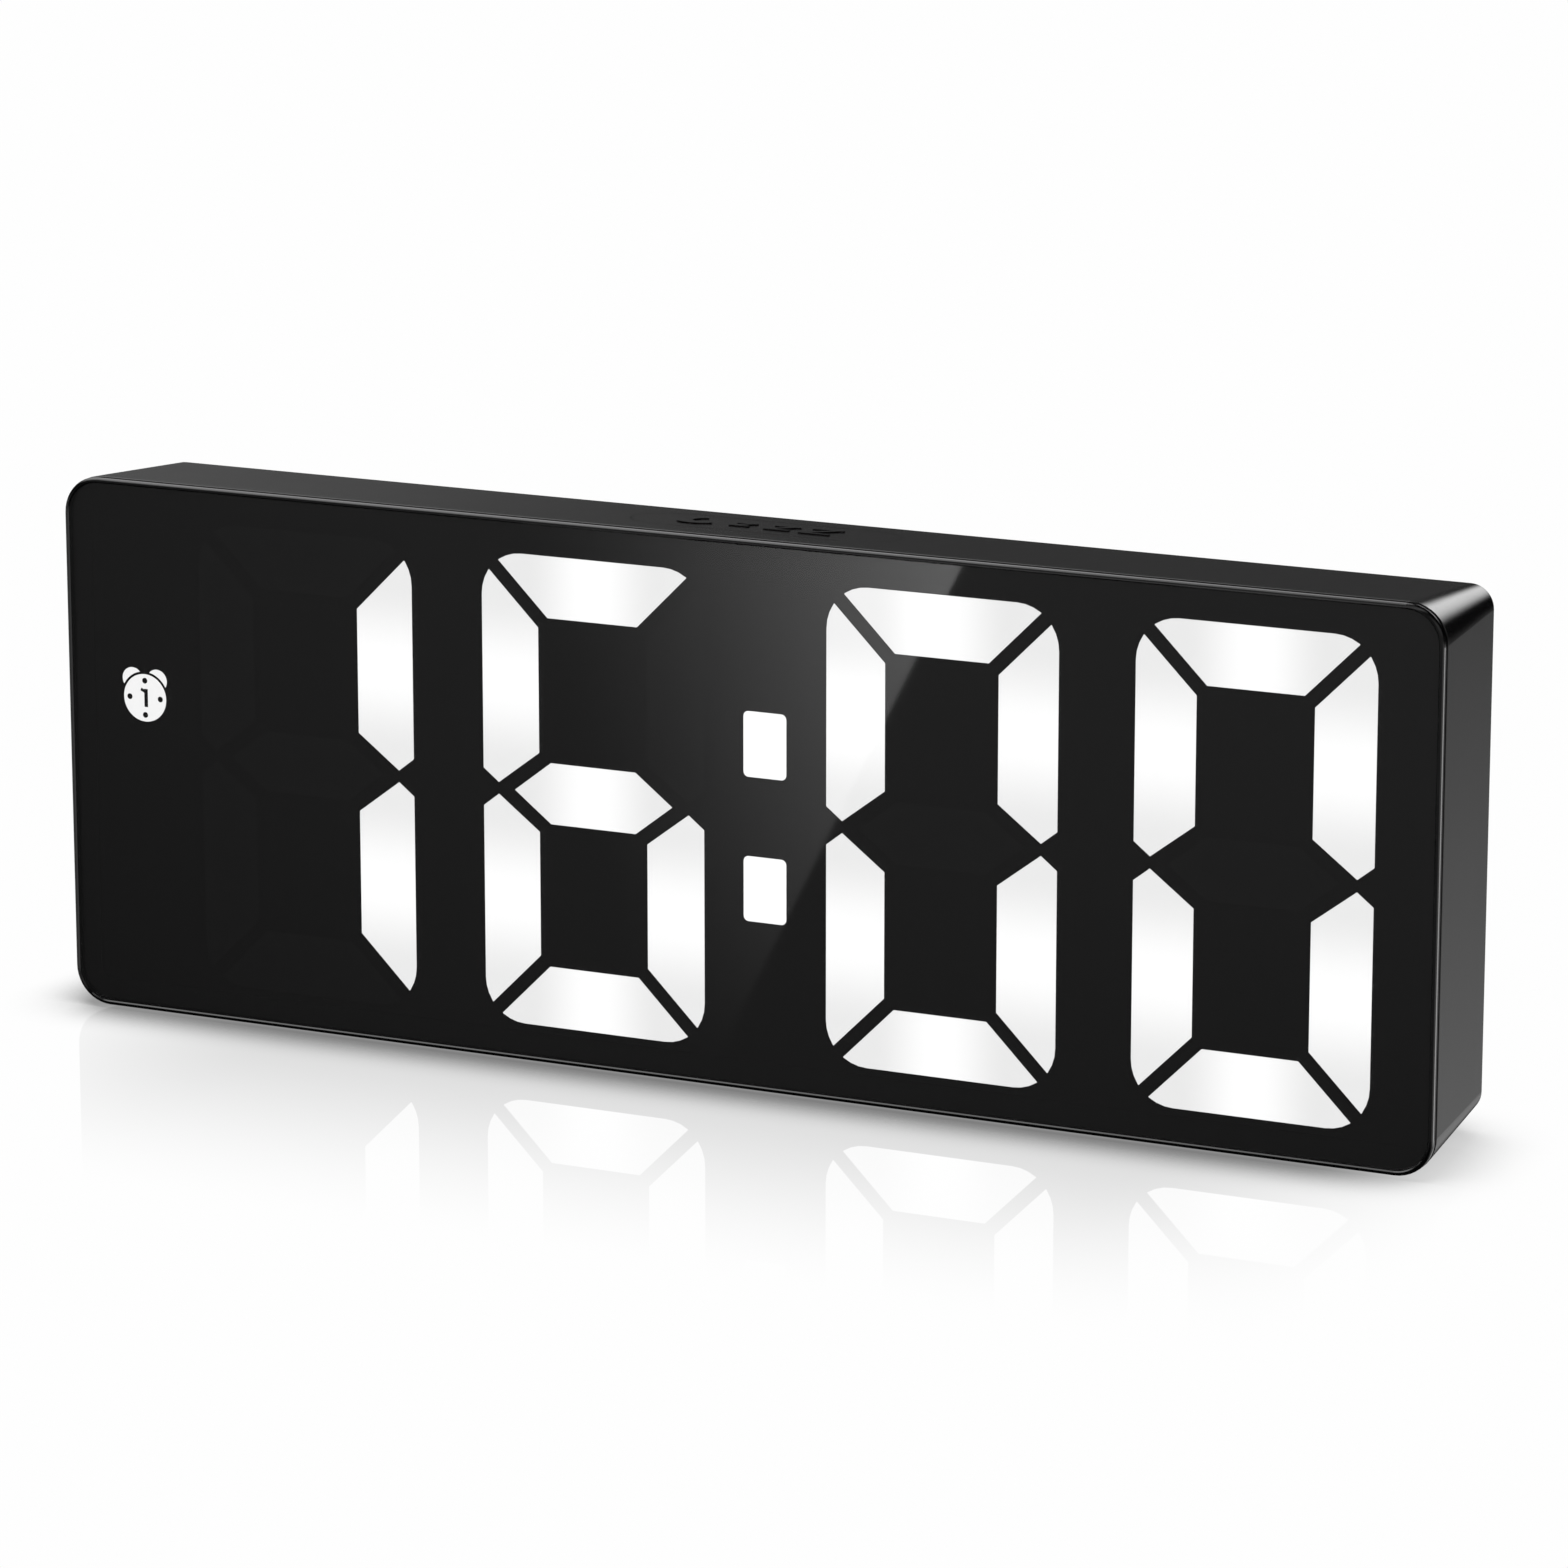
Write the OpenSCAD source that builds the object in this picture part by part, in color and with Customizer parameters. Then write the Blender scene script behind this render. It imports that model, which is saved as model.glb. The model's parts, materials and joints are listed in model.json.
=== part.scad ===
// Slim desk alarm clock with a seven-segment display behind a smoked front panel.
// The front faces -Y, +Z is up, and the origin is under the middle of the feet.

/* [Body] */
// Width of the clock across its front edge
clock_w = 162; // [158:0.5:166]
// Height of the body across its front edge
clock_h = 60.5; // [60:0.5:64]
// Depth from the face of the rim to the back edge
clock_d = 20; // [20:0.5:24]
// Corner radius at the front edge
corner_r = 4.3; // [4.1:0.1:5]
// How far every side draws in on its way to the back edge
draft = 1.75; // [1.2:0.05:1.9]
// Thickness of the housing wall
wall = 1.8; // [1.6:0.1:1.9]
// Height of the body above the desk, on its feet
foot_gap = 0.3; // [0.2:0.1:0.8]

/* [Front] */
// Width of the rim that shows round the front panel
rim_w = 0.6; // [0.5:0.05:0.9]
// Depth of the rim in front of the parting line
rim_d = 0.7; // [0.6:0.05:0.9]
// Width of the groove along the parting line
groove_w = 0.45; // [0.3:0.05:0.5]
// How far the bezel stands in from the housing's skin
bezel_step = 0.05; // [0:0.05:0.15]
// Thickness of the smoked front panel
lens_t = 0.55; // [0.5:0.05:0.6]

/* [Digits] */
// Time that the display shows, as four figures
shown_time = "1600"; // ["0000", "0730", "1200", "1600", "2359"]
// Width of a figure
digit_w = 26.6; // [25:0.1:27]
// Height of a figure
digit_h = 52.4; // [50:0.1:52.4]
// Width of a segment
segment_w = 6.8; // [6:0.1:7.2]
// Gap between two segments at a corner
segment_gap = 1.6; // [1.2:0.1:1.8]
// Radius of a figure's outer corners
digit_r = 4.8; // [3:0.1:6]
// Distance between the two figures of a pair
digit_pitch = 35.2; // [34:0.1:36]
// Distance between the two figures next to the colon
colon_span = 41; // [40:0.1:42]
// Place of the colon, to the right of the middle
colon_x = 4.7; // [3:0.1:5]

/* [Controls] */
// Length of the snooze button
snooze_l = 31; // [26:1:34]
// Width of the snooze button
snooze_w = 10; // [8:0.5:10]
// Diameter of a rear button
key_d = 7; // [6:0.1:7.4]
// Travel of every button
key_travel = 0.5; // [0.3:0.05:0.5]

/* [Battery bay] */
// Diameter of a cell
cell_d = 10.5; // [10:0.1:10.5]
// Length of a cell with its contact
cell_l = 44.5; // [43.5:0.1:44.5]
// Number of cells
cell_count = 3; // [3:1:3]

/* [Hidden] */
$fn = 48;
eps = 0.01;
slack = 0.1;         // gap between parts that only lie next to each other
running = 0.1;       // radial clearance of a button in its hole

// Depths along Y, from the front to the back
front_y = -clock_d / 2;
back_y = clock_d / 2;
parting_y = front_y + rim_d;
lens_y = front_y + 0.1;
lens_back = lens_y + lens_t;
tape_y = lens_back + 0.01;
tape_t = 0.05;
ledge_y = tape_y + tape_t;
film_y = ledge_y;
film_t = 0.2;
box_y = film_y + film_t;
board_t = 1;
board_y = box_y + 3.9;
board_back = board_y + board_t;
cover_back = back_y - 0.6;
cover_t = 1.8;
cover_y = cover_back - cover_t;

// The rounded outline is swept round a core rectangle that joins the corner centres.
core_w = clock_w - 2 * corner_r;
core_h = clock_h - 2 * corner_r;
middle_z = foot_gap + clock_h / 2;

// Display. A reach is a distance outwards from the core rectangle.
seam = 0.05;         // gap between the front panel and the rim
rim_bevel = 0.12;    // bevel round the inside of the rim
lens_reach = corner_r - rim_w - seam;
bezel_reach = 1.2;   // inner edge of the bezel's ledge
tape_reach = 1.1;    // inner edge of the tape on the ledge
film_reach = 1.15;
lip_t = 0.85;        // the housing's front lip, which laps over the bezel
lip_y = parting_y + groove_w + 1;
spigot_y = lip_y + 0.8;
box_reach = 1;
digit_x = [
  colon_x - colon_span / 2 - digit_pitch, colon_x - colon_span / 2,
  colon_x + colon_span / 2, colon_x + colon_span / 2 + digit_pitch
];
SEGMENTS = "abcdefg";
LIT = ["abcdef", "bc", "abged", "abgcd", "fgbc", "afgcd", "afgedc", "abc", "abcdefg", "abcdfg"];
led_depth = 1.1;     // space for the light emitters behind a segment
dot_w = 5.05;
dot_h = 7.2;
dot_r = 0.6;
dot_z = 7.95;        // half the distance between the colon's dots
icon_x = -71.5;
icon_z = 5.65;
icon_r = 2.7;
icon_ear = [1.55, 2.07, 1.28];   // side, height and radius of an ear
icon_ring = 0.28;
icon_dot_r = 0.33;

// Rear controls
key_x = [12, 26, 40, 54];
key_z = 8;
key_cap_y = 9.85;
flange_t = 0.8;
stem_gap = key_travel + 0.1;
key_board_y = 1;
switch_h = 3;
actuator_h = 0.7;
socket_x = 65;
socket_w = 7.6;
socket_h = 3;
buzzer_at = [33, -13.5];
screw_at = [73.5, 22];
panel_screw_at = [[-70, 19], [-70, -19], [42.5, 19], [42.5, -19]];
key_screw_x = [19, 47];

// Battery bay
bay_x = -32;
bay_w = cell_l + 6;
cell_pitch = 11.4;
bay_h = cell_pitch * cell_count;
tray_wall = 1.2;
tray_floor = 0.8;
tray_y = -3.7;
cell_y = tray_y + tray_floor + cell_d / 2 + 0.05;
rim_over = 4;        // width of the tray's rim beyond its bay
rim_t = 1;
door_w = 56;
door_h = 38;
door_t = 1.5;
door_r = 0.75;       // radius of the rolled edge that the door turns on
door_y = cover_back - door_t;
door_pin_r = 0.5;
door_pin_l = 1.4;
door_low = -door_h / 2 + door_r;

// Feet
foot_r = 3;
foot_at = [62, 5.2];
foot_sink = 0.55;    // depth of the recess that holds a foot

// Outward distance of the housing's skin from the core, at a depth y
function skin(y) = corner_r - draft * (y - parting_y) / (back_y - parting_y);
// Points along a quarter or other part of a circle
function arc(centre, r, from, to, n = 8) =
  [for (i = [0 : n]) centre + r * [cos(from + (to - from) * i / n), sin(from + (to - from) * i / n)]];
function lit(place) = LIT[ord(shown_time[place]) - ord("0")];
function has(text, letter) = len(search(letter, text)) > 0;

// Moves a part from the middle of the body to the frame that has its origin under the feet
module raised() {
  translate([0, 0, middle_z]) children();
}

// Points a shape's own Z axis to the back of the clock
module facing_back() {
  rotate([-90, 0, 0]) children();
}

// Extrudes an outline drawn as (x, z) from the depth y0 to the depth y1
module between(y0, y1) {
  translate([0, y1, 0]) rotate([90, 0, 0]) linear_extrude(y1 - y0) children();
}

// Sweeps a section, drawn as (outward distance, depth), round the core rectangle
module swept_round() {
  for (side = [0 : 3]) {
    run = side % 2 == 0 ? core_h : core_w;
    reach = side % 2 == 0 ? core_w / 2 : core_h / 2;
    rotate([0, -90 * side, 0]) translate([reach, 0, 0]) {
      linear_extrude(run, center = true) children();
      translate([0, 0, -run / 2]) facing_back() rotate_extrude(angle = 90) children();
    }
  }
}

module rounded_rect(w, h, r) {
  polygon([
    for (q = [0 : 3]) let (sx = q == 0 || q == 3 ? 1 : -1, sy = q < 2 ? 1 : -1)
      each arc([sx * (w / 2 - r), sy * (h / 2 - r)], r, q * 90, q * 90 + 90)
  ]);
}

// A flat plate that keeps the body's rounded outline, its edge a given distance from the core
module outline_plate(reach, y0, y1) {
  between(y0, y1) rounded_rect(core_w + 2 * reach, core_h + 2 * reach, reach);
}

module stadium(l, w) {
  square([l - w, w], center = true);
  for (s = [-1, 1]) translate([s * (l - w) / 2, 0]) circle(w / 2);
}

// The space between two depths below the sloping top of the housing, 60 mm wide
module under_top(high, low) {
  ends = [parting_y, back_y];
  rotate([90, 0, 90]) linear_extrude(60, center = true) polygon([
    for (y = ends) [y, core_h / 2 + skin(y) - low],
    for (y = [back_y, parting_y]) [y, core_h / 2 + skin(y) - high]
  ]);
}

// --- Display outlines ---

module top_segment() {
  half = digit_w / 2 - segment_w - segment_gap / sqrt(2);
  high = digit_h / 2;
  polygon([
    [-half, high - segment_w], [half, high - segment_w],
    [half + segment_w, high], [-half - segment_w, high]
  ]);
}

// Its lower end runs in to the figure's waist in two slanting cuts
module upper_right_segment() {
  edge = digit_w / 2;
  inner = edge - segment_w;
  high = digit_h / 2 - segment_gap / sqrt(2);
  waist = [[edge, 2.1], [edge - 1.85, 0.65], [inner, 4.4]];
  polygon(concat([[inner, high - segment_w], [edge, high]], waist));
}

module middle_segment() {
  half = segment_w / 2;
  tip = 9.5;
  shoulder = tip - half - 1;
  polygon([[-tip, 0], [-shoulder, half], [shoulder, half], [tip, 0], [shoulder, -half], [-shoulder, -half]]);
}

module segment(letter) {
  intersection() {
    rounded_rect(digit_w, digit_h, digit_r);
    union() {
      if (letter == "a") top_segment();
      if (letter == "b") upper_right_segment();
      if (letter == "c") mirror([0, 1]) upper_right_segment();
      if (letter == "d") mirror([0, 1]) top_segment();
      if (letter == "e") rotate(180) upper_right_segment();
      if (letter == "f") mirror([1, 0]) upper_right_segment();
      if (letter == "g") middle_segment();
    }
  }
}

module segments(place, letters) {
  translate([digit_x[place], 0])
    for (letter = letters) segment(letter);
}

module colon_outline() {
  for (s = [-1, 1])
    translate([colon_x, s * dot_z]) rounded_rect(dot_w, dot_h, dot_r);
}

// An alarm clock with two bells, four dots for the hours and the number of the alarm
module icon_outline() {
  figure_h = 2.05;
  stroke = 0.46;
  translate([icon_x, icon_z]) {
    difference() {
      circle(icon_r);
      for (a = [0 : 90 : 270]) rotate(a) translate([1.95, 0]) circle(icon_dot_r);
      translate([-0.1, -figure_h / 2]) square([stroke, figure_h]);
      translate([-0.1, figure_h / 2 - stroke]) rotate(155) translate([-0.15, -0.36]) square([0.7, 0.36]);
    }
    for (s = [-1, 1]) difference() {
      translate([s * icon_ear[0], icon_ear[1]]) circle(icon_ear[2]);
      circle(icon_r + icon_ring);
    }
  }
}

// One figure's glowing segments, which stand in the wells of the light box
module lit_figure(place) {
  color("white") raised() between(film_y, board_y - led_depth) segments(place, lit(place));
}

// --- Front ---

module front_bezel() {
  outer = corner_r - bezel_step;
  inner = corner_r - rim_w;
  neck = corner_r - 0.4;
  spigot_r = skin(spigot_y) - wall - slack;
  round_r = min(outer - inner - rim_bevel, rim_d - 0.05);
  color("#202020") raised() swept_round() polygon(concat(
    [[inner, front_y + rim_bevel], [inner + rim_bevel, front_y]],
    arc([outer - round_r, front_y + round_r], round_r, 270, 360),
    [
      [outer, parting_y], [neck, parting_y], [neck, parting_y + groove_w],
      [corner_r - lip_t - slack, parting_y + groove_w], [corner_r - lip_t - slack, lip_y - slack],
      [spigot_r, lip_y - slack], [spigot_r, spigot_y],
      [bezel_reach, spigot_y], [bezel_reach, ledge_y], [inner, ledge_y]
    ]
  ));
}

module front_lens() {
  color("#101012") raised() outline_plate(lens_reach, lens_y, lens_back);
}

// The thin tape that holds the front panel on the bezel's ledge
module panel_tape() {
  color("#080808") raised() difference() {
    outline_plate(lens_reach - 0.05, tape_y, ledge_y);
    outline_plate(tape_reach, tape_y - 1, ledge_y + 1);
  }
}

// The printed mask: what the print leaves clear is the windows, and the icon's dots stay as islands
module mask_film() {
  color("#080808") raised() difference() {
    outline_plate(film_reach, film_y, film_y + film_t);
    between(film_y - 1, box_y + 1) {
      for (place = [0 : 3]) segments(place, SEGMENTS);
      colon_outline();
      icon_outline();
    }
  }
}

module light_box() {
  color("#e8e8e4") raised() difference() {
    outline_plate(box_reach, box_y, board_y);
    between(box_y - 1, board_y + 1) {
      for (place = [0 : 3]) segments(place, SEGMENTS);
      colon_outline();
    }
    for (p = panel_screw_at)
      translate([p[0], board_y - 2.4, p[1]]) facing_back() cylinder(h = 3, r = 1);
  }
}

module unlit_segments() {
  color("#303030") raised() between(film_y, board_y - led_depth)
    for (place = [0 : 3], letter = SEGMENTS)
      if (!has(lit(place), letter)) segments(place, letter);
}

module colon_dots() {
  color("white") raised() between(film_y, board_y - led_depth) colon_outline();
}

module alarm_icon() {
  color("white") raised() between(film_y, box_y) icon_outline();
}

// --- Display electronics ---

module display_board() {
  color("#1d5a38") raised() difference() {
    between(board_y, board_back) rounded_rect(core_w - 2, core_h, 2);
    for (p = panel_screw_at)
      translate([p[0], board_y - 1, p[1]]) facing_back() cylinder(h = board_t + 2, r = 1.2);
  }
}

// Two light emitters under every segment and one under every dot of the colon
module segment_leds() {
  far = digit_w / 2 - segment_w / 2;
  spots = [
    for (s = [-1, 1], t = [-1, 1]) [t * 3, s * (digit_h / 2 - segment_w / 2)],
    for (s = [-1, 1], t = [-1, 1], u = [-1, 1]) [s * far, t * digit_h / 4 + u * 3],
    for (t = [-1, 1]) [t * 3, 0]
  ];
  led = [1.6, 0.6, 0.8];
  color("#f2e9b8") raised() {
    for (x = digit_x, p = spots)
      translate([x + p[0], board_y - led[1] / 2, p[1]]) cube(led, center = true);
    for (s = [-1, 1])
      translate([colon_x, board_y - led[1] / 2, s * dot_z]) cube(led, center = true);
  }
}

module microcontroller() {
  body = [18, 2.2, 7.5];
  at = [58, -10];
  color("#161616") raised() translate([at[0], board_back + body[1] / 2 + 0.1, at[1]]) {
    cube(body, center = true);
    for (i = [-6.5 : 6.5], s = [-1, 1])
      translate([i * 1.27, -body[1] / 4 - 0.05, s * (body[2] / 2 + 0.6)])
        cube([0.4, body[1] / 2 + 0.1, 1.4], center = true);
  }
}

module crystal_can() {
  color("#c8c8c8") raised() between(board_back, board_back + 3.4)
    translate([58, -20]) stadium(10.4, 3.8);
}

module buzzer() {
  color("#141414") raised() translate([buzzer_at[0], board_back, buzzer_at[1]]) facing_back()
    difference() {
      cylinder(h = 6, r = 6);
      translate([0, 0, 4.5]) cylinder(h = 2, r = 1.2);
    }
}

module snooze_switch() {
  color("#2a2a2a") raised() {
    translate([-3, board_back, 18]) cube([6, 3.8, 4.3]);
    translate([0, board_back + 2.2, 22]) cylinder(h = 1.5, r = 1.2);
  }
}

// --- Key board ---

module key_board() {
  left = key_x[0] - 7;
  right = socket_x + 6;
  color("#1d5a38") raised() difference() {
    translate([left, key_board_y, key_z - 8]) cube([right - left, board_t, 16]);
    for (x = key_screw_x)
      translate([x, key_board_y - 1, key_z]) facing_back() cylinder(h = board_t + 2, r = 1.1);
  }
}

module key_switches() {
  top = key_board_y + board_t;
  color("#c9c9c9") raised() for (x = key_x) {
    translate([x - 3, top, key_z - 3]) cube([6, switch_h, 6]);
    translate([x, top + switch_h - eps, key_z]) facing_back() cylinder(h = actuator_h + eps, r = 1.7);
  }
}

// The pins that join the key board to the display board
module board_header() {
  pins = 5;
  pitch = 2.54;
  x0 = 26;
  z = key_z - 5.5;
  color("#1a1a1a") raised() {
    translate([x0, board_back, z - 1.25]) cube([pins * pitch, 2.5, 2.5]);
    for (i = [0 : pins - 1])
      translate([x0 + (i + 0.5) * pitch, board_back + 2, z]) facing_back()
        cylinder(h = key_board_y - board_back - 2, r = 0.35);
  }
}

module power_socket() {
  y0 = key_board_y + board_t;
  mouth = [socket_w - 1, socket_h - 1];
  color("#b8b8bc") raised() difference() {
    between(y0, cover_back - 0.2) translate([socket_x, key_z]) rounded_rect(socket_w, socket_h, 0.8);
    between(y0 + 2, cover_back) translate([socket_x, key_z]) difference() {
      rounded_rect(mouth[0], mouth[1], 0.5);
      square([4.6, 0.6], center = true);
    }
  }
}

// --- Housing ---

// The wall's section: a chamfer by the parting line, the drafted skin, the rounded back edge
// and the ledge that the rear cover rests on
module housing_section() {
  start = parting_y + groove_w;
  chamfer = 0.06;
  round_r = 0.5;
  lip = 1.15;
  polygon(concat(
    [[corner_r - lip_t, start], [skin(start) - chamfer, start], [skin(start + chamfer), start + chamfer]],
    arc([skin(back_y - round_r) - round_r, back_y - round_r], round_r, 0, 90, 6),
    [
      [lip, back_y], [lip, cover_y], [0.2, cover_y], [0.2, cover_y - 1.2],
      [skin(cover_y - 1.2) - wall, cover_y - 1.2], [skin(lip_y) - wall, lip_y], [corner_r - lip_t, lip_y]
    ]
  ));
}

// Where the rear screws bite: a boss on a rib from the side wall
module screw_boss(x, z) {
  side = sign(x);
  boss_y = -2.9;
  translate([x, boss_y, z]) facing_back() cylinder(h = cover_y - boss_y, r = 2.8);
  translate([side > 0 ? x : x - 5.4, boss_y, z - 1.2]) cube([5.4, cover_y - boss_y - 1.2, 2.4]);
}

module housing() {
  color("#2b2b2c") raised() difference() {
    union() {
      swept_round() housing_section();
      for (sx = [-1, 1], sz = [-1, 1]) screw_boss(sx * screw_at[0], sz * screw_at[1]);
    }
    for (sx = [-1, 1], sz = [-1, 1])
      translate([sx * screw_at[0], 0, sz * screw_at[1]]) facing_back() cylinder(h = cover_y, r = 1.1);
    translate([0, snooze_y(), core_h / 2 - 3])
      linear_extrude(10) stadium(snooze_l + 2 * running, snooze_w + 2 * running);
    for (sx = [-1, 1], sy = [-1, 1])
      translate([sx * foot_at[0], sy * foot_at[1], -middle_z - 1]) cylinder(h = foot_top(sy) + 1, r = foot_r + 0.05);
  }
}

// Depth of the snooze button's middle, and the top of the recess that holds a foot
function snooze_y() = parting_y + 10.1;
function foot_top(side) = foot_gap + corner_r - skin(side * foot_at[1]) + foot_sink;

module rubber_feet() {
  color("#101010") for (sx = [-1, 1], sy = [-1, 1])
    translate([sx * foot_at[0], sy * foot_at[1], 0]) {
      cylinder(h = 0.3, r1 = foot_r - 0.3, r2 = foot_r);
      translate([0, 0, 0.3]) cylinder(h = foot_top(sy) - 0.3, r = foot_r);
    }
}

// --- Rear cover ---

// Raised signs over the keys: a ring to set, a bell to wake, and arrows up and down
module key_signs() {
  sign_z = key_z + 7.6;
  translate([key_x[0], sign_z]) difference() {
    circle(1.4);
    circle(0.8);
  }
  translate([key_x[1], sign_z - 0.9]) {
    polygon(concat([[-1.5, 0]], arc([0, 1], 1, 180, 0, 8), [[1.5, 0]]));
    translate([-0.3, -0.5]) square([0.6, 0.35]);
  }
  translate([key_x[2], sign_z]) polygon([[-1.5, -1.1], [1.5, -1.1], [0, 1.4]]);
  translate([key_x[3], sign_z]) polygon([[-1.5, 1.1], [1.5, 1.1], [0, -1.4]]);
}

module cover_openings() {
  translate([bay_x, 0]) square([door_w + 2 * slack, door_h + 2 * slack], center = true);
  for (x = key_x) translate([x, key_z]) circle(key_d / 2);
  translate([socket_x, key_z]) rounded_rect(socket_w + 1, socket_h + 1, 1);
  for (x = [-1 : 1], z = [-1 : 1])
    translate([buzzer_at[0] + 2.6 * x, buzzer_at[1] + 2.6 * z]) circle(0.7);
}

module rear_cover() {
  color("#262627") raised() difference() {
    union() {
      outline_plate(1.05, cover_y, cover_back);
      between(cover_back - eps, cover_back + 0.2) key_signs();
      for (x = key_screw_x)
        translate([x, key_board_y + board_t, key_z]) facing_back()
          cylinder(h = cover_y - key_board_y - board_t + eps, r = 2.2);
    }
    between(cover_y - 1, cover_back + 1) cover_openings();
    for (x = key_screw_x)
      translate([x, key_board_y, key_z]) facing_back() cylinder(h = 6, r = 0.9);
    for (sx = [-1, 1], sz = [-1, 1])
      translate([sx * screw_at[0], 0, sz * screw_at[1]]) facing_back() {
        cylinder(h = back_y, r = 1.3);
        translate([0, 0, cover_back - 1]) cylinder(h = 3, r = 2.4);
      }
    for (s = [-1, 1])
      translate([bay_x + s * (door_w / 2 + door_pin_l / 2), door_y + door_r, door_low])
        rotate([0, 90, 0]) cylinder(h = door_pin_l + 0.4, r = door_pin_r + 0.05, center = true);
  }
}

// --- Battery bay ---

module battery_tray() {
  outer = [bay_w + 2 * tray_wall, bay_h + 2 * tray_wall];
  color("#1e1e1f") raised() translate([bay_x, 0, 0]) difference() {
    union() {
      between(tray_y, cover_y) square(outer, center = true);
      between(cover_y - rim_t, cover_y)
        square([bay_w + 2 * rim_over, bay_h + 2 * rim_over - 1], center = true);
    }
    difference() {
      between(tray_y + tray_floor, cover_y + 1) square([bay_w, bay_h], center = true);
      for (i = [1 : cell_count - 1])
        translate([0, 0, (i - cell_count / 2) * cell_pitch])
          between(tray_y, tray_y + tray_floor + 1.4) square([bay_w + 1, 0.8], center = true);
    }
  }
}

// A row of the bay: its height above the middle, and the side that the cell's cap points to
function row_z(i) = (i - (cell_count - 1) / 2) * cell_pitch;
function row_side(i) = i % 2 == 0 ? 1 : -1;

module battery_cells() {
  cap = 1.2;
  color("#3d6f9e") raised() for (i = [0 : cell_count - 1])
    translate([bay_x, cell_y, row_z(i)]) rotate([0, row_side(i) * 90, 0])
      translate([0, 0, bay_w / 2 - 0.5 - cell_l]) rotate_extrude() polygon([
        [0, 0], [cell_d / 2 - 0.5, 0], [cell_d / 2, 0.5], [cell_d / 2, cell_l - cap - 0.5],
        [cell_d / 2 - 0.5, cell_l - cap], [1.9, cell_l - cap], [1.9, cell_l], [0, cell_l]
      ]);
}

// A tube of round section along a tapering helix that rises in Z
module coil(r0, r1, rise, turns, wire) {
  rings = 14 * turns;
  sides = 6;
  point = function (i, j) let (
    t = i / rings, turn = 360 * turns * t, a = 360 * j / sides,
    r = r0 + (r1 - r0) * t + wire * cos(a)
  ) [r * cos(turn), r * sin(turn), rise * t + wire * sin(a)];
  polyhedron(
    [for (i = [0 : rings], j = [0 : sides - 1]) point(i, j)],
    concat(
      [[for (j = [0 : sides - 1]) j], [for (j = [sides - 1 : -1 : 0]) rings * sides + j]],
      [for (i = [0 : rings - 1], j = [0 : sides - 1]) let (k = (j + 1) % sides)
        [i * sides + j, (i + 1) * sides + j, (i + 1) * sides + k, i * sides + k]]
    )
  );
}

module battery_springs() {
  wire = 0.35;
  room = bay_w - cell_l - 1;
  color("#d4d4d8") raised() for (i = [0 : cell_count - 1])
    translate([bay_x, cell_y, row_z(i)]) rotate([0, row_side(i) * 90, 0])
      translate([0, 0, wire + 0.55 - bay_w / 2]) coil(3.6, 2.2, room - 2 * wire - 0.1, 3, wire);
}

module battery_contacts() {
  plate = [0.4, 8.2, 8.6];
  color("#d8c27a") raised() for (i = [0 : cell_count - 1], s = [-1, 1])
    translate([bay_x + s * (bay_w / 2 - plate[0] / 2), cell_y, row_z(i)]) cube(plate, center = true);
}

// The red and black wires from the tray to the display board
module battery_leads() {
  wire = 0.6;
  bend = 1.6;
  start = [0, 1, bay_h / 2 + tray_wall];
  color("#a82020") raised() for (x = [bay_x + 8, bay_x + 11]) translate([x, start[1], start[2]]) {
    cylinder(h = 1.5, r = wire);
    translate([0, -bend, 1.5]) rotate([90, 0, 90]) rotate_extrude(angle = 90)
      translate([bend, 0]) circle(wire);
    translate([0, board_back - start[1], 1.5 + bend]) facing_back()
      cylinder(h = start[1] - bend - board_back, r = wire);
  }
}

module battery_door() {
  grip_w = 12;
  pin_y = door_y + door_r;
  color("#262627") raised() translate([bay_x, 0, 0]) {
    difference() {
      union() {
        translate([-door_w / 2, door_y, door_low]) cube([door_w, door_t, door_h - door_r]);
        translate([0, pin_y, door_low]) rotate([0, 90, 0])
          cylinder(h = door_w, r = door_r, center = true);
        translate([0, pin_y, door_low]) rotate([0, 90, 0])
          cylinder(h = door_w + 2 * door_pin_l, r = door_pin_r, center = true);
      }
      for (i = [0 : 2])
        translate([-grip_w / 2, cover_back - 0.4, door_h / 2 - 4.6 - 1.6 * i]) cube([grip_w, 1, 0.8]);
      translate([0, cover_back + 3.2, door_h / 2 - 1.6]) rotate([0, 90, 0])
        cylinder(h = grip_w, r = 3.8, center = true);
    }
  }
}

// --- Buttons ---

// A crescent moon and three growing zigzags, the sign for a snooze
module sleep_sign() {
  translate([-8, 0]) difference() {
    circle(2.4);
    translate([1.2, 0.7]) circle(2);
  }
  for (i = [0 : 2]) {
    h = 2.8 + i * 0.8;
    w = h * 0.8;
    translate([-2.6 + i * 4.6, 0]) {
      for (s = [-1, 1]) translate([0, s * (h / 2 - 0.3)]) square([w, 0.6], center = true);
      polygon([[-w / 2, -h / 2], [-w / 2 + 0.8, -h / 2], [w / 2, h / 2], [w / 2 - 0.8, h / 2]]);
    }
  }
}

module snooze_button() {
  stem_low = 23.5 + stem_gap;
  color("#2b2b2c") raised() {
    intersection() {
      under_top(0, wall + slack + flange_t);
      translate([0, snooze_y(), 0]) linear_extrude(clock_h) stadium(snooze_l, snooze_w);
    }
    intersection() {
      under_top(wall + slack, wall + slack + flange_t);
      translate([0, snooze_y(), 0]) linear_extrude(clock_h) stadium(snooze_l + 3, snooze_w + 1);
    }
    intersection() {
      under_top(-0.12, 0.4);
      translate([0, snooze_y(), 0]) linear_extrude(clock_h) sleep_sign();
    }
    translate([0, board_back + 2.2, stem_low])
      cylinder(h = core_h / 2 + skin(0) - wall - flange_t - stem_low, r = 1.6);
  }
}

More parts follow.
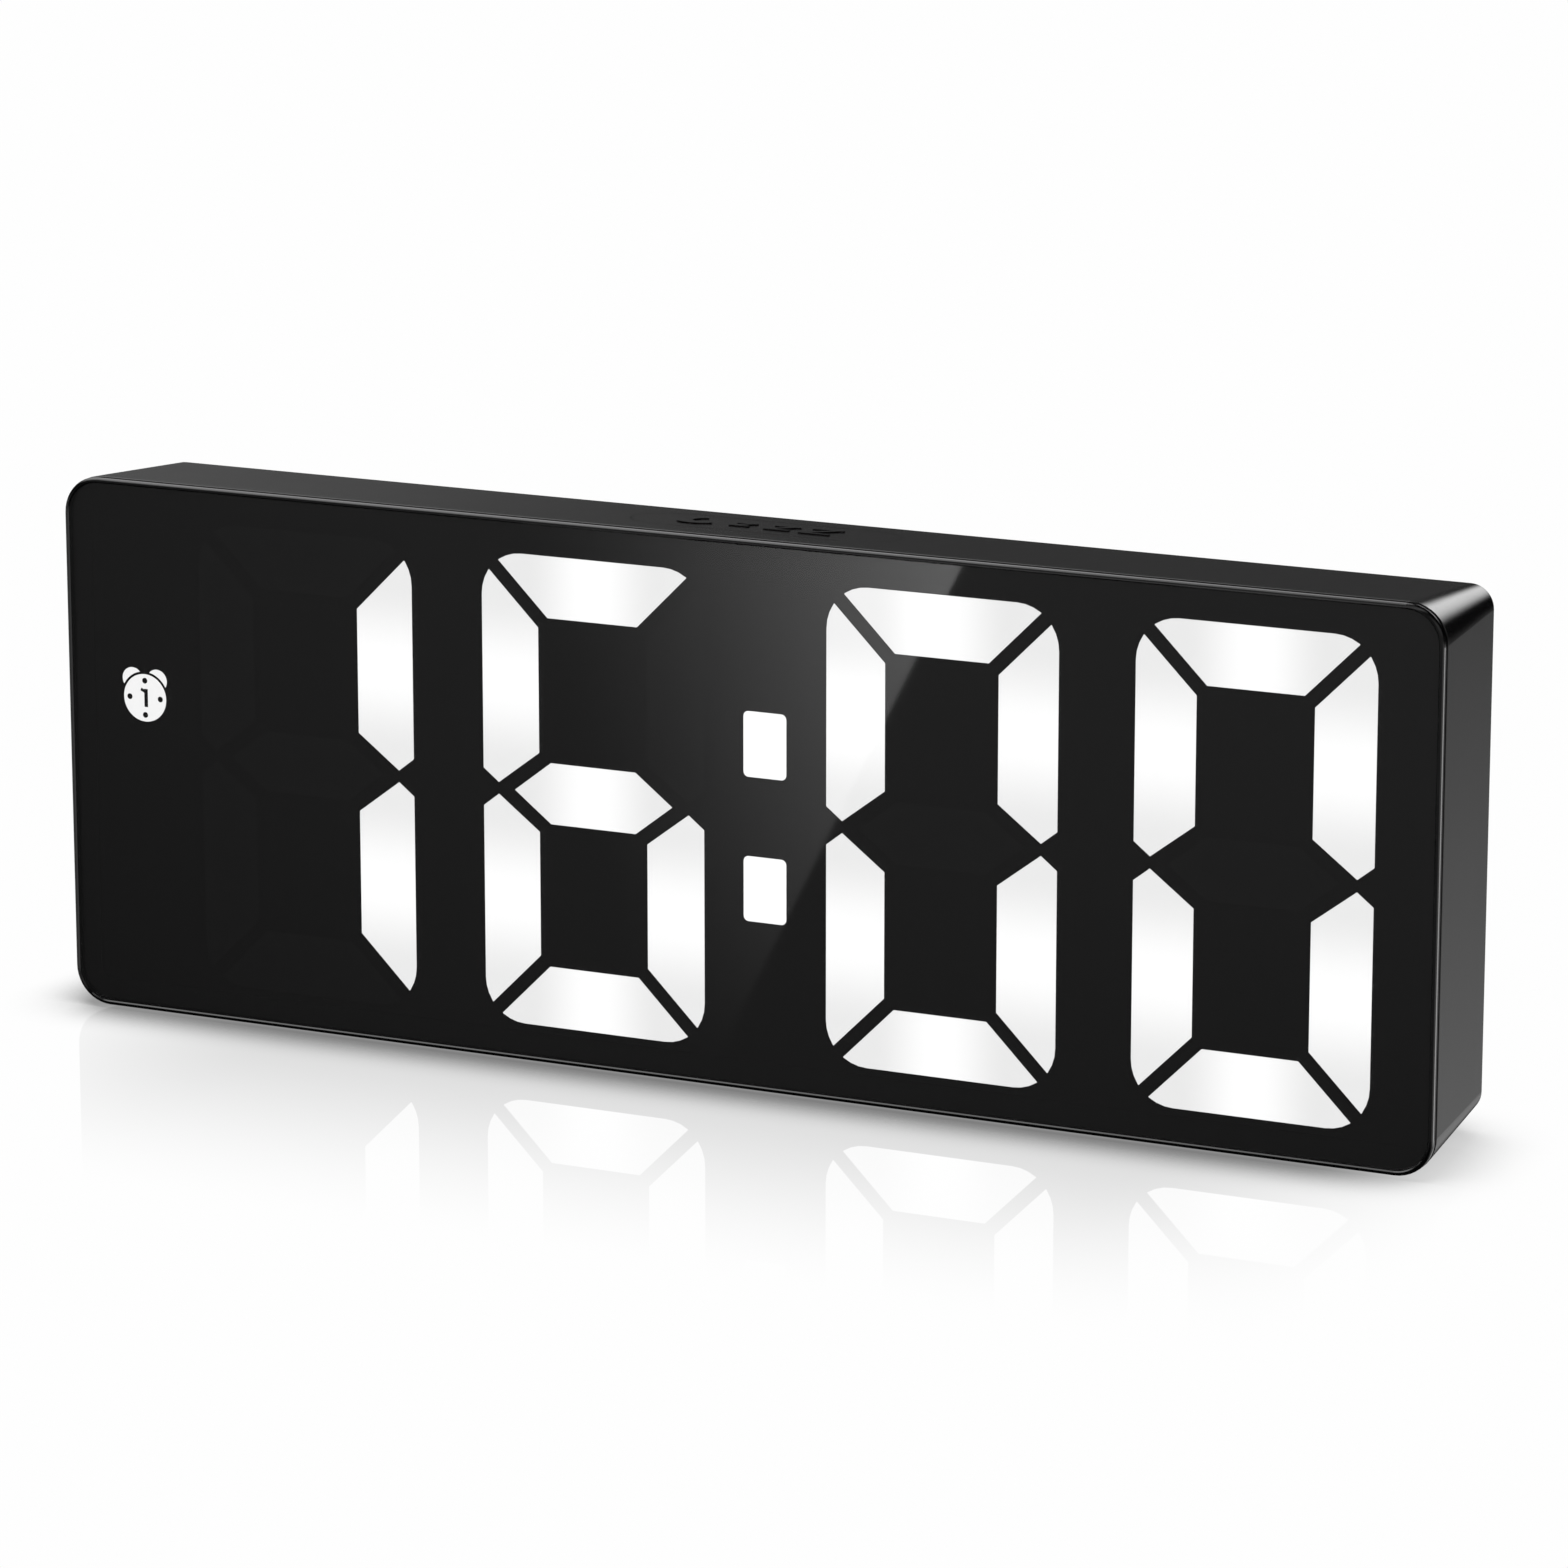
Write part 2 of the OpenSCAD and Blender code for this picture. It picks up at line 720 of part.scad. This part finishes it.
module rear_button(place) {
  cap_r = key_d / 2 - running;
  flange_y = cover_y - slack - flange_t;
  stem_y = key_board_y + board_t + switch_h + actuator_h + stem_gap;
  color("#303031") raised() translate([key_x[place], 0, key_z]) facing_back()
    rotate_extrude() polygon(concat(
      [[0, stem_y], [1.8, stem_y], [1.8, flange_y], [cap_r + 0.7, flange_y],
        [cap_r + 0.7, flange_y + flange_t], [cap_r, flange_y + flange_t]],
      arc([cap_r - 0.35, key_cap_y - 0.35], 0.35, 0, 90, 6),
      [[cap_r - 1, key_cap_y], [0, key_cap_y - 0.25]]
    ));
}

module set_button() {
  rear_button(0);
}

module alarm_button() {
  rear_button(1);
}

module up_button() {
  rear_button(2);
}

module down_button() {
  rear_button(3);
}

// --- Fasteners ---

// A pan-head screw along Z with a cross recess in its head, which ends at z = 0
module screw(head_r, head_h, shank_r, shank_l) {
  difference() {
    translate([0, 0, -head_h]) cylinder(h = head_h, r = head_r);
    for (a = [0, 90]) rotate(a)
      translate([-head_r * 0.55, -0.2, -0.5]) cube([head_r * 1.1, 0.4, 1]);
  }
  translate([0, 0, -head_h - shank_l]) cylinder(h = shank_l, r = shank_r);
}

module rear_screws() {
  color("#8d8f92") raised() for (sx = [-1, 1], sz = [-1, 1])
    translate([sx * screw_at[0], cover_back - 0.15, sz * screw_at[1]]) facing_back()
      screw(2.2, 0.85, 1.05, 6.4);
}

module board_screws() {
  color("#8d8f92") raised() {
    for (p = panel_screw_at)
      translate([p[0], board_back + 1.2, p[1]]) facing_back() screw(1.9, 1.2, 0.95, 3.2);
    for (x = key_screw_x)
      translate([x, key_board_y - 1.2, key_z]) rotate([90, 0, 0]) screw(1.9, 1.2, 0.85, 5);
  }
}

front_bezel();
front_lens();
panel_tape();
mask_film();
light_box();
lit_figure(0);  // hours_tens_lit
lit_figure(1);  // hours_units_lit
lit_figure(2);  // minutes_tens_lit
lit_figure(3);  // minutes_units_lit
unlit_segments();
colon_dots();
alarm_icon();
display_board();
segment_leds();
microcontroller();
crystal_can();
buzzer();
snooze_switch();
key_board();
key_switches();
board_header();
power_socket();
housing();
rear_cover();
battery_tray();
battery_cells();
battery_springs();
battery_contacts();
battery_leads();
battery_door();
snooze_button();
set_button();
alarm_button();
up_button();
down_button();
rear_screws();
board_screws();
rubber_feet();
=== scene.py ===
# Slim desk alarm clock: camera, studio and the looks of every piece.
import json
import math
from collections import namedtuple

import bpy
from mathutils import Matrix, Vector


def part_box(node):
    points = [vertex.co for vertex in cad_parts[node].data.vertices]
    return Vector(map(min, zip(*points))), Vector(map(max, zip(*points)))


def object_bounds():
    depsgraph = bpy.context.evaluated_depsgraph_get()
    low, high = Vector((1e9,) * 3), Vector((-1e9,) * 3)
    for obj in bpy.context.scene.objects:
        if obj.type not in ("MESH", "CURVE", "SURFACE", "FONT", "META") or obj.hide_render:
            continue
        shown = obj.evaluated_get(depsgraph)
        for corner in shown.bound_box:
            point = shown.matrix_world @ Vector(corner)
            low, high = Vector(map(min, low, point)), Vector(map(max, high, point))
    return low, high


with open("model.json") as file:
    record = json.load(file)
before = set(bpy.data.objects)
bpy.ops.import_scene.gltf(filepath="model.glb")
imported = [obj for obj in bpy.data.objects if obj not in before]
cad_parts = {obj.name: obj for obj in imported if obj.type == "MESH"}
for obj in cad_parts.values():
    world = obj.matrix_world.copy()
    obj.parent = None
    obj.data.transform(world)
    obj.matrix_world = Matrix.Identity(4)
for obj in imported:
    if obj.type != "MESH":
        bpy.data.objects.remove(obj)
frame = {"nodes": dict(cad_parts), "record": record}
cad_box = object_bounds()

MM = 0.001
FEET_H = 0.3 * MM

# Places on the clock that the studio and the materials are worked out from, in metres
lowest, highest = cad_box
front_y = lowest.y
row_middle = (lowest.z + FEET_H + highest.z) / 2

# What a ray of light keeps after both faces of the smoked panel
PANEL_ALPHA = 0.3
SEEN_THROUGH = (1 - PANEL_ALPHA) ** 2

# Brightness of the plain white around the clock
PAPER_WHITE = 0.991

# What gloss sees where no soft box is
STUDIO_GLOW = 0.004


# --- Short ways to write node trees ---

def add(tree, kind, inputs=None, **settings):
    """A new node with its settings, and its inputs linked or set."""
    node = tree.nodes.new(kind)
    for name, value in settings.items():
        setattr(node, name, value)
    for name, value in (inputs or {}).items():
        if isinstance(value, bpy.types.NodeSocket):
            tree.links.new(value, node.inputs[name])
        else:
            node.inputs[name].default_value = value
    return node


def maths(tree, operation, *values):
    inputs = {i: value for i, value in enumerate(values)}
    return add(tree, "ShaderNodeMath", inputs, operation=operation).outputs[0]


def product(tree, *factors):
    result = factors[0]
    for factor in factors[1:]:
        result = maths(tree, "MULTIPLY", result, factor)
    return result


def split(tree, vector):
    """The X, Y and Z of a vector."""
    return add(tree, "ShaderNodeSeparateXYZ", {0: vector}).outputs


def ramp(tree, value, start, end, low=0.0, high=1.0, **settings):
    """Runs from low to high while value goes from start to end, straight unless settings say otherwise."""
    inputs = {"Value": value, "From Min": start, "From Max": end, "To Min": low, "To Max": high}
    return add(tree, "ShaderNodeMapRange", inputs, **settings).outputs["Result"]


def smooth_step(tree, value, start, end, low=0.0, high=1.0):
    """Runs from low to high like ramp, but starts and ends smoothly."""
    return ramp(tree, value, start, end, low, high, interpolation_type="SMOOTHSTEP")


def spread(tree, value, low, high):
    """A noise value, which keeps close to 0.5, widened to run from low to high."""
    return ramp(tree, value, 0.25, 0.75, low, high)


def noise(tree, where, size, detail=2.0):
    """Cloudy noise whose features are about size metres across."""
    inputs = {"Vector": where, "Scale": 1 / size, "Detail": detail, "Roughness": 0.55}
    return add(tree, "ShaderNodeTexNoise", inputs).outputs["Fac"]


def blend_colors(tree, factor, first, second):
    node = add(tree, "ShaderNodeMix", data_type="RGBA")
    for socket, value in (("Factor_Float", factor), ("A_Color", first), ("B_Color", second)):
        target = next(s for s in node.inputs if s.identifier == socket)
        if isinstance(value, bpy.types.NodeSocket):
            tree.links.new(value, target)
        else:
            target.default_value = value
    return next(s for s in node.outputs if s.identifier == "Result_Color")


def scale_color(tree, color, share):
    return add(tree, "ShaderNodeVectorMath", {0: color, "Scale": share}, operation="SCALE").outputs[0]


def grey(value):
    return (value, value, value, 1)


def new_material(name, **constants):
    """A material with one Principled shader. Keyword names are its sockets, with _ for a space."""
    material = bpy.data.materials.new(name)
    material.use_nodes = True
    tree = material.node_tree
    shader = tree.nodes["Principled BSDF"]
    for socket, value in constants.items():
        shader.inputs[socket.replace("_", " ")].default_value = value
    where = add(tree, "ShaderNodeTexCoord").outputs["Object"]
    return material, tree, shader, where


def bump(tree, shader, height, depth):
    """Raises the surface by height times depth metres."""
    inputs = {"Height": height, "Distance": depth, "Strength": 1.0}
    tree.links.new(add(tree, "ShaderNodeBump", inputs).outputs[0], shader.inputs["Normal"])


# --- Camera ---

def make_camera():
    """Stands where the front shows 25 degrees from its right and 14 degrees from above."""
    azimuth = math.radians(25.292)
    elevation = math.radians(13.738)
    distance = 0.7266
    aim = Vector((2.38, 0.38, 31.93)) * MM
    back = Vector((
        math.sin(azimuth) * math.cos(elevation),
        -math.cos(azimuth) * math.cos(elevation),
        math.sin(elevation),
    ))
    data = bpy.data.cameras.new("camera")
    data.lens = 154.63
    data.sensor_width = 36
    data.clip_start = 0.01
    camera = bpy.data.objects.new("camera", data)
    camera.location = aim + back * distance
    camera.rotation_mode = "QUATERNION"
    camera.rotation_quaternion = (-back).to_track_quat("-Z", "Y")
    bpy.context.scene.collection.objects.link(camera)
    bpy.context.scene.camera = camera
    return camera


# --- Studio ---

# A soft box that only the clock's gloss sees. side says whether its azimuth, from left to right,
# counts from the front or the back of the clock. Its edges are in degrees, and blur softens them.
SoftBox = namedtuple("SoftBox", "side left right bottom top blur brightness")

SOFT_BOXES = [
    # A patch on the rounded top right corner of the housing
    SoftBox("back", -9, 13, 10, 20, 6, 3.2),
    # The line along the bezel's top edge
    SoftBox("back", -140, -22, 34, 72, 12, 3.2),
    # The top face, from further to the right
    SoftBox("back", -90, -38, 19, 34, 5, 0.3),
    # The top face, brighter towards its left end
    SoftBox("back", -70, -28, -6, 12, 5, 0.12),
    SoftBox("back", -70, -8, -6, 12, 5, 0.06),
    # The right side, brighter towards the table
    SoftBox("back", -4, 100, -44, -17, 12, 0.8),
    # The rear cover, from behind
    SoftBox("back", 42, 84, -24, -8, 5, 4.5),
    # The left side, from behind
    SoftBox("front", -84, -42, -20, -2, 6, 0.8),
    # The panel, darker towards its left end
    SoftBox("front", -34, 60, -17, 4, 10, 0.27),
    # The line along the bezel's right edge
    SoftBox("front", 50, 85, -24, -4, 8, 0.9),
    # The bezel's top right corner
    SoftBox("front", 15, 85, 8, 40, 10, 0.5),
]


def soft_box(tree, azimuth, elevation, box):
    return product(
        tree,
        box.brightness,
        smooth_step(tree, azimuth, box.left - box.blur, box.left + box.blur),
        smooth_step(tree, azimuth, box.right + box.blur, box.right - box.blur),
        smooth_step(tree, elevation, box.bottom - box.blur, box.bottom + box.blur),
        smooth_step(tree, elevation, box.top + box.blur, box.top - box.blur),
    )


def panel_reflection(camera, x, z):
    """Where a glance from the camera at a point on the front goes after it."""
    point = Vector((x, front_y, z))
    glance = point - camera.location
    return Vector((glance.x, -glance.y, glance.z)).normalized()


def window_glare(tree, camera, direction):
    """A tall window whose straight edge falls across the panel. Its light fans out to the left and fades."""
    edge_top = panel_reflection(camera, 27.6 * MM, highest.z - 0.8 * MM)
    edge_bottom = panel_reflection(camera, -1.3 * MM, lowest.z + 2 * MM)
    faded_top = panel_reflection(camera, -25 * MM, highest.z)
    faded_bottom = panel_reflection(camera, -10 * MM, lowest.z)
    edge_blur = 0.0004
    brightness = 1.6
    fade_power = 1.75
    rise_power = 1.7

    def beyond(first, second, within):
        """How far the direction lies from the line first-second, on the side where within lies."""
        normal = first.cross(second).normalized()
        if normal.dot(within) < 0:
            normal.negate()
        dot = add(tree, "ShaderNodeVectorMath", {0: direction, 1: normal}, operation="DOT_PRODUCT")
        return dot.outputs["Value"]

    from_edge = beyond(edge_top, edge_bottom, faded_top)
    from_faded = maths(tree, "MAXIMUM", beyond(faded_top, faded_bottom, edge_top), 0)
    share = maths(tree, "DIVIDE", from_faded, maths(tree, "ADD", from_faded, from_edge))
    _, y, z = split(tree, direction)
    return product(
        tree,
        smooth_step(tree, y, 0, -0.3, 0.0, brightness),
        smooth_step(tree, from_edge, -edge_blur, edge_blur),
        maths(tree, "POWER", share, fade_power),
        maths(tree, "POWER", ramp(tree, z, edge_bottom.z, edge_top.z), rise_power),
    )


def make_world(camera):
    """White to the eye and to matt surfaces; gloss sees a dark studio with soft boxes over a pale table."""
    world = bpy.data.worlds.new("studio")
    world.use_nodes = True
    world.cycles.sampling_method = "NONE"
    bpy.context.scene.world = world
    tree = world.node_tree
    tree.nodes.clear()
    direction = add(tree, "ShaderNodeTexCoord").outputs["Generated"]
    x, y, z = split(tree, direction)
    ahead = maths(tree, "MULTIPLY", y, -1)
    degrees = 180 / math.pi
    elevation = maths(tree, "MULTIPLY", maths(tree, "ARCSINE", z), degrees)
    azimuth = {
        "back": maths(tree, "MULTIPLY", maths(tree, "ARCTAN2", x, y), degrees),
        "front": maths(tree, "MULTIPLY", maths(tree, "ARCTAN2", x, ahead), degrees),
    }
    glow = STUDIO_GLOW
    for box in SOFT_BOXES:
        glow = maths(tree, "ADD", glow, soft_box(tree, azimuth[box.side], elevation, box))
    glow = maths(tree, "ADD", glow, window_glare(tree, camera, direction))
    path = add(tree, "ShaderNodeLightPath").outputs
    not_singular = maths(tree, "SUBTRACT", 1, path["Is Singular Ray"])
    seen_in_gloss = maths(tree, "MULTIPLY", path["Is Glossy Ray"], not_singular)
    plain = add(tree, "ShaderNodeBackground", {"Color": grey(PAPER_WHITE), "Strength": 1})
    gloss = add(tree, "ShaderNodeBackground", {"Color": grey(1), "Strength": glow})
    mix = add(tree, "ShaderNodeMixShader", {0: seen_in_gloss, 1: plain.outputs[0], 2: gloss.outputs[0]})
    add(tree, "ShaderNodeOutputWorld", {"Surface": mix.outputs[0]})


def make_table():
    """A plain square that reaches past every view."""
    reach = 3.0
    mesh = bpy.data.meshes.new("table")
    corners = [(-reach, -reach, 0), (reach, -reach, 0), (reach, reach, 0), (-reach, reach, 0)]
    mesh.from_pydata(corners, [], [(0, 1, 2, 3)])
    mesh.materials.append(pale_table())
    table = bpy.data.objects.new("table", mesh)
    bpy.context.scene.collection.objects.link(table)
    table.visible_glossy = False


def pale_table():
    """Mirrors the clock faintly in front of it, and carries a painted contact shadow close to it, darkened
    into its glow.
    """
    strongest_mirror = 0.34
    mirror_behind = 0.2
    darkest_left = 0.3
    darkest_right = 0.72
    material = bpy.data.materials.new("pale_table")
    material.use_nodes = True
    material.cycles.emission_sampling = "NONE"
    tree = material.node_tree
    tree.nodes.clear()
    x, y, _ = split(tree, add(tree, "ShaderNodeTexCoord").outputs["Object"])
    ahead = maths(tree, "SUBTRACT", front_y, y)
    mirror = product(
        tree,
        smooth_step(tree, ahead, 60 * MM, -16 * MM, 0.0, strongest_mirror),
        smooth_step(tree, ahead, -0.5 * MM, -1.5 * MM, 1.0, mirror_behind),
        smooth_step(tree, maths(tree, "ABSOLUTE", x), 90 * MM, 50 * MM),
    )
    # Painted contact shadow: where ambient occlusion finds the clock within 10 mm, the table's glow is
    # darkened, less so past the clock's right side
    openness = add(tree, "ShaderNodeAmbientOcclusion", {"Distance": 10 * MM}, samples=16).outputs["AO"]
    darkest = smooth_step(tree, x, 66 * MM, 84 * MM, darkest_left, darkest_right)
    painted_shade = smooth_step(tree, openness, 0.45, 1.0, darkest, PAPER_WHITE)
    light = maths(tree, "MULTIPLY", painted_shade, maths(tree, "SUBTRACT", 1, mirror))
    glow = add(tree, "ShaderNodeEmission", {"Color": grey(1), "Strength": light})
    reflect = add(tree, "ShaderNodeBsdfAnisotropic", {"Color": mirror, "Roughness": 0.0})
    both = add(tree, "ShaderNodeAddShader", {0: glow.outputs[0], 1: reflect.outputs[0]})
    add(tree, "ShaderNodeOutputMaterial", {"Surface": both.outputs[0]})
    return material


# --- Plastics ---

def moulded(name, color, roughness, grain, depth, specular=0.5):
    """Moulded plastic: a fine spark-eroded grain, and a gloss that wanders a little with the flow."""
    material, tree, shader, where = new_material(name, Specular_IOR_Level=specular)
    flow = noise(tree, where, 18 * MM)
    fine = noise(tree, where, grain, 3.0)
    tint = maths(tree, "ADD", spread(tree, flow, 0.88, 1.12), spread(tree, fine, -0.08, 0.08))
    tree.links.new(scale_color(tree, color, tint), shader.inputs["Base Color"])
    fine_gloss = spread(tree, fine, roughness - 0.02, roughness + 0.02)
    gloss = maths(tree, "ADD", spread(tree, flow, -0.02, 0.02), fine_gloss)
    tree.links.new(gloss, shader.inputs["Roughness"])
    bump(tree, shader, fine, depth)
    return material


def bezel_black():
    return moulded("bezel_black", (0.0012, 0.0012, 0.0013), 0.14, 0.3 * MM, 0.0005 * MM)


def housing_black():
    return moulded("housing_black", (0.003, 0.003, 0.0031), 0.16, 0.25 * MM, 0.002 * MM)


def cover_black():
    return moulded("cover_black", (0.016, 0.016, 0.0165), 0.42, 0.35 * MM, 0.012 * MM)


def button_black():
    return moulded("button_black", (0.012, 0.012, 0.0125), 0.24, 0.3 * MM, 0.002 * MM)


def chip_black():
    return moulded("chip_black", (0.015, 0.015, 0.016), 0.5, 0.12 * MM, 0.006 * MM, 0.4)


def foot_rubber():
    return moulded("foot_rubber", (0.012, 0.012, 0.012), 0.75, 0.2 * MM, 0.02 * MM, 0.3)


def reflector_white():
    return moulded("reflector_white", (0.8, 0.8, 0.78), 0.45, 0.4 * MM, 0.003 * MM)


def mask_black():
    return moulded("mask_black", (0.0015, 0.0015, 0.0015), 0.6, 0.1 * MM, 0.001 * MM, 0.03)


def unlit_dark():
    return moulded("unlit_dark", (0.003, 0.003, 0.003), 0.6, 0.15 * MM, 0.001 * MM, 0.1)


def smoked_panel():
    """Polished smoked acrylic: see-through by a constant share, with faint wipe marks in its gloss."""
    material, tree, shader, where = new_material(
        "smoked_panel", Alpha=PANEL_ALPHA, Specular_IOR_Level=1.0, IOR=1.7,
    )
    stretched = add(tree, "ShaderNodeMapping", {"Vector": where, "Scale": (0.3, 1, 1)}).outputs[0]
    wipe = noise(tree, stretched, 9 * MM, 4.0)
    tree.links.new(spread(tree, wipe, 0.008, 0.014), shader.inputs["Roughness"])
    dark = blend_colors(tree, spread(tree, wipe, 0, 1), grey(0.0007), grey(0.001))
    tree.links.new(dark, shader.inputs["Base Color"])
    return material


# --- Lit pieces ---

def glowing(name, brightness):
    """A diffuser lit from behind, with its fine milky grain."""
    material, tree, shader, where = new_material(
        name, Roughness=0.5, Specular_IOR_Level=0.1, Base_Color=grey(0.02), Emission_Color=grey(1),
    )
    material.cycles.emission_sampling = "NONE"
    grain = spread(tree, noise(tree, where, 0.3 * MM, 3.0), 0.996, 1.004)
    strength = product(tree, brightness(tree, where), grain, 1 / SEEN_THROUGH)
    tree.links.new(strength, shader.inputs["Emission Strength"])
    return material


def lit_figure(node):
    """Every segment is brightest half-way along and a little dimmer at its ends."""
    half_w = 13.3 * MM
    half_h = 26.2 * MM
    middle_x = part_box(node)[1].x - half_w
    # Height of an upright segment's middle over the figure's middle
    upright_z = 12.1 * MM
    # The middle segment lies within this reach, where height counts more than width
    middle_reach = 10.9 * MM
    height_share = 1.15
    brightest = 0.995
    upright_end = 0.82
    level_end = 0.81

    def brightness(tree, where):
        x, _, z = split(tree, where)
        x = maths(tree, "ABSOLUTE", maths(tree, "SUBTRACT", x, middle_x))
        z = maths(tree, "ABSOLUTE", maths(tree, "SUBTRACT", z, row_middle))
        at_end = maths(tree, "GREATER_THAN", maths(tree, "SUBTRACT", z, x), half_h - half_w)
        reach = maths(tree, "ADD", x, maths(tree, "MULTIPLY", z, height_share))
        at_middle = maths(tree, "LESS_THAN", reach, middle_reach)
        is_level = maths(tree, "MAXIMUM", at_end, at_middle)
        along = maths(tree, "ABSOLUTE", maths(tree, "SUBTRACT", z, upright_z))
        upright = smooth_step(tree, along, 0.8 * MM, 9.5 * MM, brightest, upright_end)
        level = smooth_step(tree, x, 0.6 * MM, 8 * MM, brightest, level_end)
        difference = maths(tree, "SUBTRACT", level, upright)
        return maths(tree, "ADD", upright, maths(tree, "MULTIPLY", is_level, difference))

    return glowing("lit_white_" + node, brightness)


SIGN_BRIGHTNESS = {"colon_dots": 1.02, "alarm_icon": 0.89}


def lit_sign(node):
    share = SIGN_BRIGHTNESS[node]

    def brightness(tree, where):
        return spread(tree, noise(tree, where, 4 * MM), share - 0.004, share + 0.004)

    return glowing("lit_white_" + node, brightness)


# --- Electronics and metal ---

def circuit_board():
    """Green solder mask over copper runs, with the weave of the glass cloth."""
    material, tree, shader, where = new_material("circuit_board", Roughness=0.35, Coat_Weight=0.3)
    x, y, z = split(tree, where)
    plane = add(tree, "ShaderNodeCombineXYZ", {0: x, 1: z, 2: y}).outputs[0]
    runs = add(tree, "ShaderNodeTexBrick", {
        "Vector": plane, "Scale": 120.0, "Mortar Size": 0.06, "Mortar Smooth": 0.2,
        "Brick Width": 1.3, "Row Height": 0.3,
    }).outputs["Fac"]
    weave = add(tree, "ShaderNodeTexVoronoi", {"Vector": where, "Scale": 1 / (0.5 * MM)}).outputs["Distance"]
    ground = blend_colors(tree, weave, (0.012, 0.085, 0.035, 1), (0.018, 0.12, 0.05, 1))
    color = blend_colors(tree, runs, ground, (0.035, 0.2, 0.075, 1))
    tree.links.new(color, shader.inputs["Base Color"])
    bump(tree, shader, runs, 0.03 * MM)
    return material


def led_phosphor():
    material, tree, shader, where = new_material("led_phosphor", Roughness=0.3)
    grain = noise(tree, where, 0.15 * MM)
    color = blend_colors(tree, grain, (0.85, 0.72, 0.3, 1), (0.9, 0.82, 0.45, 1))
    tree.links.new(color, shader.inputs["Base Color"])
    return material


def metal(name, color, roughness, streak):
    """Drawn or stamped metal: fine streaks along one way, and a clouded plating."""
    material, tree, shader, where = new_material(name, Metallic=1.0, Anisotropic=0.3)
    stretched = add(tree, "ShaderNodeMapping", {"Vector": where, "Scale": (0.08, 1, 1)}).outputs[0]
    streaks = noise(tree, stretched, streak, 3.0)
    cloud = noise(tree, where, 3 * MM)
    tint = maths(tree, "ADD", spread(tree, cloud, 0.85, 1.05), spread(tree, streaks, -0.08, 0.08))
    tree.links.new(scale_color(tree, color, tint), shader.inputs["Base Color"])
    tree.links.new(spread(tree, streaks, roughness - 0.06, roughness + 0.08), shader.inputs["Roughness"])
    bump(tree, shader, streaks, 0.004 * MM)
    return material


def tinned_steel():
    return metal("tinned_steel", (0.56, 0.56, 0.57), 0.3, 0.08 * MM)


def screw_steel():
    return metal("screw_steel", (0.16, 0.16, 0.17), 0.32, 0.06 * MM)


def contact_plate():
    return metal("contact_plate", (0.62, 0.52, 0.32), 0.28, 0.1 * MM)


def cell_wrap():
    """A plain shrink sleeve with two pale bands, open at both steel ends."""
    sleeve_end = 21.2 * MM
    band_start = 12 * MM
    band_end = 14 * MM
    edge = 0.1 * MM
    material, tree, shader, where = new_material("cell_wrap", Specular_IOR_Level=0.5)
    first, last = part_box("battery_cells")
    middle = (first.x + last.x) / 2
    x, _, _ = split(tree, where)
    along = maths(tree, "ABSOLUTE", maths(tree, "SUBTRACT", x, middle))
    steel = smooth_step(tree, along, sleeve_end, sleeve_end + edge)
    band = product(
        tree,
        smooth_step(tree, along, band_start - edge, band_start),
        smooth_step(tree, along, band_end + edge, band_end),
    )
    print_dots = noise(tree, where, 0.2 * MM)
    sleeve = blend_colors(tree, print_dots, (0.018, 0.075, 0.19, 1), (0.025, 0.095, 0.23, 1))
    sleeve = blend_colors(tree, band, sleeve, (0.55, 0.56, 0.58, 1))
    color = blend_colors(tree, steel, sleeve, (0.55, 0.55, 0.56, 1))
    tree.links.new(color, shader.inputs["Base Color"])
    tree.links.new(steel, shader.inputs["Metallic"])
    tree.links.new(spread(tree, noise(tree, where, 2 * MM), 0.22, 0.34), shader.inputs["Roughness"])
    bump(tree, shader, noise(tree, where, 3 * MM), 0.02 * MM)
    return material


def lead_sleeve():
    """One red and one black wire, in soft vinyl."""
    material, tree, shader, where = new_material("lead_sleeve", Specular_IOR_Level=0.45)
    first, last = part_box("battery_leads")
    x, _, _ = split(tree, where)
    second = maths(tree, "GREATER_THAN", x, (first.x + last.x) / 2)
    dust = noise(tree, where, 0.8 * MM)
    red = blend_colors(tree, dust, (0.4, 0.015, 0.012, 1), (0.5, 0.025, 0.02, 1))
    tree.links.new(blend_colors(tree, second, red, (0.012, 0.012, 0.013, 1)), shader.inputs["Base Color"])
    tree.links.new(spread(tree, dust, 0.4, 0.55), shader.inputs["Roughness"])
    return material


# --- Dressing the pieces ---

# The look of each of the record's material slots, but for the lit pieces, which each get their own
LOOKS = {
    look.__name__: look
    for look in (
        bezel_black, smoked_panel, mask_black, reflector_white, unlit_dark, circuit_board, led_phosphor,
        chip_black, tinned_steel, housing_black, cover_black, cell_wrap, contact_plate, lead_sleeve,
        button_black, screw_steel, foot_rubber,
    )
}


def dress_pieces():
    made = {name: look() for name, look in LOOKS.items()}
    for part in frame["record"]["subparts"]:
        node, slot = part["node"], part["material_slot"]
        if slot in made:
            material = made[slot]
        elif node in SIGN_BRIGHTNESS:
            material = lit_sign(node)
        else:
            material = lit_figure(node)
        for place in frame["nodes"][node].material_slots:
            place.material = material


camera = make_camera()
make_world(camera)
make_table()
dress_pieces()
bpy.context.scene.view_settings.view_transform = "Standard"
